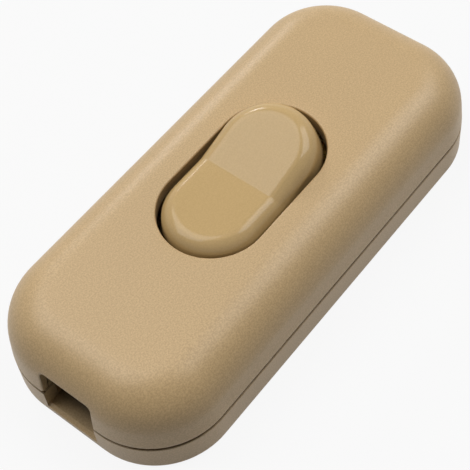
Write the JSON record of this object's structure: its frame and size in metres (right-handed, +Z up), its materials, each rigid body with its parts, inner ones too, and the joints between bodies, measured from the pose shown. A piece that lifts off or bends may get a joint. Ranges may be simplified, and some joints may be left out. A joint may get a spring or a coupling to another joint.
{
  "type": "inline cord switch",
  "caption": "Flat slab-shaped inline rocker switch for a lamp cord: two moulded shells, a concave rocker in a stadium opening, cord entries at both ends.",
  "frame": {"origin": "middle of the underside, on the surface that it lies on", "axes": "+X along the cord towards the far entry, +Y across, +Z up through the rocker"},
  "size_m": [0.07, 0.0312, 0.017],
  "materials": {
    "satin_gold": "satin moulded plastic with a fine metallic grain",
    "gloss_gold": "glossy moulded plastic of the same gold beige",
    "white_plastic": "natural white moulded plastic",
    "brass": "stamped brass",
    "silver": "silver contact metal",
    "zinc_steel": "zinc-plated steel",
    "spring_steel": "drawn spring wire"
  },
  "bodies": {
    "housing": {"upper_shell": "satin_gold", "lower_shell": "satin_gold", "fixed_contact": "silver", "line_terminal": "brass", "load_terminal": "brass", "through_terminal": "brass", "near_cord_clamp": "white_plastic", "far_cord_clamp": "white_plastic", "terminal_screw_1": "zinc_steel", "clamp_screw_1": "zinc_steel", "terminal_screw_2": "zinc_steel", "clamp_screw_2": "zinc_steel", "terminal_screw_3": "zinc_steel", "clamp_screw_3": "zinc_steel", "terminal_screw_4": "zinc_steel", "clamp_screw_4": "zinc_steel", "case_screw_1": "zinc_steel", "case_screw_2": "zinc_steel"},
    "rocker": {"rocker": "gloss_gold", "plunger_spring": "spring_steel"},
    "plunger": {"plunger": "white_plastic"},
    "contact_bridge": {"contact_bridge": "brass", "moving_contact": "silver"}
  },
  "joints": [
    {"name": "rocker_tilt", "type": "hinge", "parent": "housing", "child": "rocker", "pos_m": [0, 0, 0.01], "axis": [0, 1, 0], "range_deg": [0, 16]},
    {"name": "bridge_tilt", "type": "hinge", "parent": "housing", "child": "contact_bridge", "pos_m": [0, 0, 0.0046], "axis": [0, 1, 0], "range_deg": [-10, 0]},
    {"name": "plunger_slide", "type": "slide", "parent": "rocker", "child": "plunger", "axis": [-0.1392, 0, 0.9903], "range_m": [0, 0.0008], "stiffness_N_per_m": 400, "springref_m": -0.001, "deforming": ["plunger_spring"]}
  ],
  "couplings": [
    {"joint": "bridge_tilt", "follows": "rocker_tilt", "ratio": -0.625}
  ]
}
